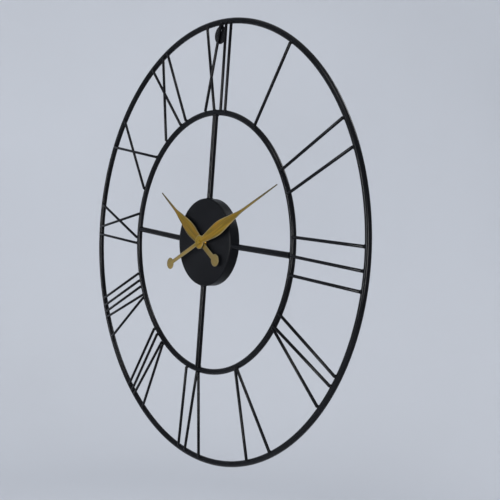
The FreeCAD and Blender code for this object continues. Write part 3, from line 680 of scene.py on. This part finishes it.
def collet():
    """Short tube behind the hour hand, which grips the hour wheel's tube."""
    low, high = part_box("hour_hand")
    front, back = low[1] + (HAND_THICK - 0.1) * MM, high[1]
    outer, inner, soft = 3.4 * MM, 2.5 * MM, 0.2 * MM
    bm = bmesh.new()
    spin_y(bm, [(inner, front), (outer, front), (outer, back - soft), (outer - soft, back),
                (inner + soft, back), (inner, back - soft)], 64)
    piece("hour_hand_collet", bm, "gold_hands", body="hour_works")


def cap():
    """Low domed cap nut with a softened foot."""
    low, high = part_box("hand_cap")
    radius, front, back = high[0], low[1], high[1]
    dome = 0.9 * MM
    centre = 0.02 * MM
    profile = [(centre, back), (radius - 0.1 * MM, back), (radius, back - 0.1 * MM)]
    profile += arc(radius - dome, front + dome, dome, 0, -75, 8)
    profile += [(0.4 * radius, front + 0.01 * MM), (centre, front)]
    bm = bmesh.new()
    spin_y(bm, profile, 64)
    piece("hand_cap_dome", bm, "gold_hands", ["hand_cap"], "minute_works")


# ------------------------------------------------------------ battery and cover
def battery():
    """AA cell lying along X: printed jacket, steel ends and the positive nub."""
    low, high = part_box("battery_cell")
    radius = 0.5 * (high[2] - low[2])
    y, z = 0.5 * (low[1] + high[1]), 0.5 * (low[2] + high[2])
    nub, nub_r = 1.0 * MM, 2.7 * MM
    x0, x1 = low[0], high[0] - nub
    jacket, soft = 0.12 * MM, 0.8 * MM

    def turn(profile, name, slot, mats=None, replaces=(), split=None):
        bm = bmesh.new()
        spin(bm, [(x, y, z + r) for x, r in profile], 72, (0, y, z), (1, 0, 0))
        if split is not None:
            for f in bm.faces:
                f.material_index = int(f.calc_center_median().x > split)
        piece(name, bm, slot, replaces, "cell", smooth=30.0, mats=mats)

    centre = 0.02 * MM
    inner = radius - jacket
    can = [(x0 + 0.25 * MM, centre), (x0 + 0.05 * MM, 0.55 * radius), (x0, 0.6 * radius),
           (x0, inner - soft), (x0 + 0.25 * soft, inner - 0.25 * soft), (x0 + soft, inner),
           (x1 - soft, inner), (x1 - 0.25 * soft, inner - 0.25 * soft), (x1, inner - soft),
           (x1, nub_r + 0.4 * MM), (x1 + 0.1 * MM, nub_r), (x1 + nub - 0.2 * MM, nub_r),
           (x1 + nub, nub_r - 0.2 * MM), (x1 + nub, centre)]
    turn(can, "battery_can", "plated_steel", replaces=["battery_cell"])
    a, b, band = x0 + 0.35 * MM, x1 - 0.35 * MM, x1 - 11 * MM
    wrap = [(a, inner - 0.9 * soft), (a - 0.08 * MM, inner - 0.9 * soft),
            (a - 0.05 * MM, inner - 0.2 * soft), (a + 0.6 * soft, radius), (band, radius),
            (b - 0.6 * soft, radius), (b + 0.05 * MM, inner - 0.2 * soft),
            (b + 0.08 * MM, inner - 0.9 * soft), (b, inner - 0.9 * soft),
            (b - 0.6 * soft, inner), (band, inner), (a + 0.6 * soft, inner)]
    printed = [MATERIALS["cell_jacket"], moulded_plastic("cell_band", (0.52, 0.38, 0.17), 0.28)]
    turn(wrap, "battery_jacket", "cell_jacket", mats=printed, split=band)


MARK_SUNK, MARK_RAISED = 0.2 * MM, 0.18 * MM
MARK_SOFT = 0.06 * MM      # softened edge of a moulded mark
KNOB_ARROW_R = 8.6 * MM
KNOB_ARROW_TURN = 70       # degrees
PANEL_BOTTOM = -4.5 * MM
SIGN_Z = -7.6 * MM


def mark_depths():
    """Foot and face of the marks moulded on the movement's cover."""
    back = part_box("case_back")[1][1]
    return back - MARK_SUNK, back + MARK_RAISED


def knob_centre():
    low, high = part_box("setting_knob")
    return 0.5 * (low[0] + high[0]), 0.5 * (low[2] + high[2])


def knob_marks():
    """A rim and two curved arrows round the setting knob."""
    x, z = knob_centre()
    y0, y1 = mark_depths()
    bm = bmesh.new()
    rim_in, rim_out = 6.5 * MM, 7.2 * MM
    spin_y(bm, [(rim_in, y0), (rim_in, y1 - MARK_SOFT), (rim_in + MARK_SOFT, y1),
                (rim_out - MARK_SOFT, y1), (rim_out, y1 - MARK_SOFT), (rim_out, y0)], 72, (x, z))
    steps, half, head_half, head_long = 14, 0.3 * MM, 1.1 * MM, 2.0 * MM
    for start in (200, 20):
        ring = [math.radians(start + KNOB_ARROW_TURN * i / steps) for i in range(steps + 1)]
        outline = [(x + r * math.cos(t), z + r * math.sin(t))
                   for r, turns in ((KNOB_ARROW_R + half, ring),
                                    (KNOB_ARROW_R - half, reversed(ring))) for t in turns]
        slab(bm, outline, y0, y1, MARK_SOFT)
        t = ring[-1]
        outwards = Vector((math.cos(t), math.sin(t)))
        onwards = Vector((-outwards.y, outwards.x))
        middle = Vector((x, z)) + outwards * KNOB_ARROW_R
        head = [middle + outwards * head_half, middle + onwards * head_long,
                middle - outwards * head_half]
        slab(bm, [tuple(p) for p in head], y0, y1, MARK_SOFT)
    piece("cover_knob_marks", bm, "case_plastic")


def battery_marks():
    """Plus and minus signs above the ends of the battery bay."""
    y0, y1 = mark_depths()
    bm = bmesh.new()
    side, arm, half = 22 * MM, 1.6 * MM, 0.3 * MM
    across, up = (arm, half), (half, arm)
    for x, wide, tall in ((side, *across), (side, *up), (-side, *across)):
        slab(bm, [(x - wide, SIGN_Z - tall), (x + wide, SIGN_Z - tall),
                  (x + wide, SIGN_Z + tall), (x - wide, SIGN_Z + tall)], y0, y1, MARK_SOFT)
    piece("cover_battery_marks", bm, "case_plastic")


def panel_frame():
    """Raised rectangular frame beside the knob."""
    low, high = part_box("case_back")
    y0, y1 = mark_depths()
    bm = bmesh.new()
    inset, width = 2.0 * MM, 0.4 * MM
    left, right = low[0] + inset, knob_centre()[0] - 10.6 * MM
    bottom, top = PANEL_BOTTOM, high[2] - inset
    profile = ((0, y0), (0, y1 - MARK_SOFT), (MARK_SOFT, y1), (width - MARK_SOFT, y1),
               (width, y1 - MARK_SOFT), (width, y0))
    loops = [[bm.verts.new((x, y, z)) for x, z in ((left + d, bottom + d), (right - d, bottom + d),
                                                   (right - d, top - d), (left + d, top - d))]
             for d, y in profile]
    for i, loop in enumerate(loops):
        for k in range(4):
            bm.faces.new((loops[i - 1][k - 1], loops[i - 1][k], loop[k], loop[k - 1]))
    piece("cover_panel_frame", bm, "case_plastic")


# -------------------------------------------------------------------- studio
# metres
FLOOR_Z = -1.5
FLOOR_HOLE_R = 0.02        # filled once the profile is turned
BOWL_R = 4.5
BOWL_CURVE = 1.4
BOWL_TOP = 4.5
CURVE_STEPS = 12

SKY = (0.92, 0.95, 1.0, 1)
SKY_STRENGTH = 0.75
# name, place, width and height in metres, watts, colour; every light faces the hub
LIGHTS = [
    ("key", (0.4, -2.1, 2.9), (1.0, 0.7), 32, (1.0, 0.98, 0.95)),
    ("strip_right", (2.3, -2.6, 0.0), (0.3, 1.6), 105, (1.0, 0.99, 0.97)),
    ("strip_left", (-1.0, -3.2, 0.1), (0.3, 1.6), 85, (0.96, 0.98, 1.0)),
    ("back", (0.4, 2.4, 2.2), (1.2, 1.0), 50, (0.97, 0.98, 1.0)),
]


def studio():
    """Pale floor that curves up into a plain backdrop all round."""
    bm = bmesh.new()
    flat_r = BOWL_R - BOWL_CURVE
    profile = [Vector((FLOOR_HOLE_R, 0, FLOOR_Z)), Vector((flat_r, 0, FLOOR_Z))]
    for i in range(1, CURVE_STEPS + 1):
        t = 0.5 * math.pi * i / CURVE_STEPS
        profile.append(Vector((flat_r + BOWL_CURVE * math.sin(t), 0,
                               FLOOR_Z + BOWL_CURVE * (1 - math.cos(t)))))
    profile.append(Vector((BOWL_R, 0, BOWL_TOP)))
    verts = [bm.verts.new(p) for p in profile]
    edges = [bm.edges.new(pair) for pair in zip(verts, verts[1:])]
    bmesh.ops.spin(bm, geom=verts + edges, cent=(0, 0, 0), axis=(0, 0, 1),
                   angle=2 * math.pi, steps=96, use_merge=True, use_duplicate=False)
    hole = [e for e in bm.edges if e.is_boundary and e.verts[0].co.z < 0]
    bmesh.ops.holes_fill(bm, edges=hole, sides=0)
    bmesh.ops.recalc_face_normals(bm, faces=bm.faces)
    mesh = bpy.data.meshes.new("floor")
    bm.to_mesh(mesh)
    bm.free()
    mesh.shade_smooth()
    mesh.materials.append(backdrop_mat())
    floor = bpy.data.objects.new("floor", mesh)
    bpy.context.scene.collection.objects.link(floor)


def area_light(name, place, size, power, color):
    light = bpy.data.lights.new(name, "AREA")
    light.shape = "RECTANGLE"
    light.size, light.size_y = size
    light.energy = power
    light.color = color
    obj = bpy.data.objects.new(name, light)
    obj.location = place
    obj.rotation_euler = Vector(place).to_track_quat("Z", "Y").to_euler()
    bpy.context.scene.collection.objects.link(obj)


def lights():
    world = bpy.data.worlds.new("world")
    world.use_nodes = True
    sky = world.node_tree.nodes["Background"]
    sky.inputs["Color"].default_value = SKY
    sky.inputs["Strength"].default_value = SKY_STRENGTH
    bpy.context.scene.world = world
    for light in LIGHTS:
        area_light(*light)
    bpy.context.scene.view_settings.view_transform = "Standard"


# --------------------------------------------------------------------- build
def dress_cad_nodes():
    """Every carried-over CAD node gets the finish of its slot."""
    for row in frame["record"]["subparts"]:
        mesh = frame["nodes"][row["node"]].data
        mesh.materials.clear()
        mesh.materials.append(MATERIALS[row["material_slot"]])


make_camera()
dress_cad_nodes()
bar_ring("outer_ring")
bar_ring("inner_ring")
numeral_rods()
spokes()
hanger()
hub_cup_piece()
blade("hour_hand")
collet()
blade("minute_hand")
cap()
battery()
knob_marks()
battery_marks()
panel_frame()
studio()
lights()
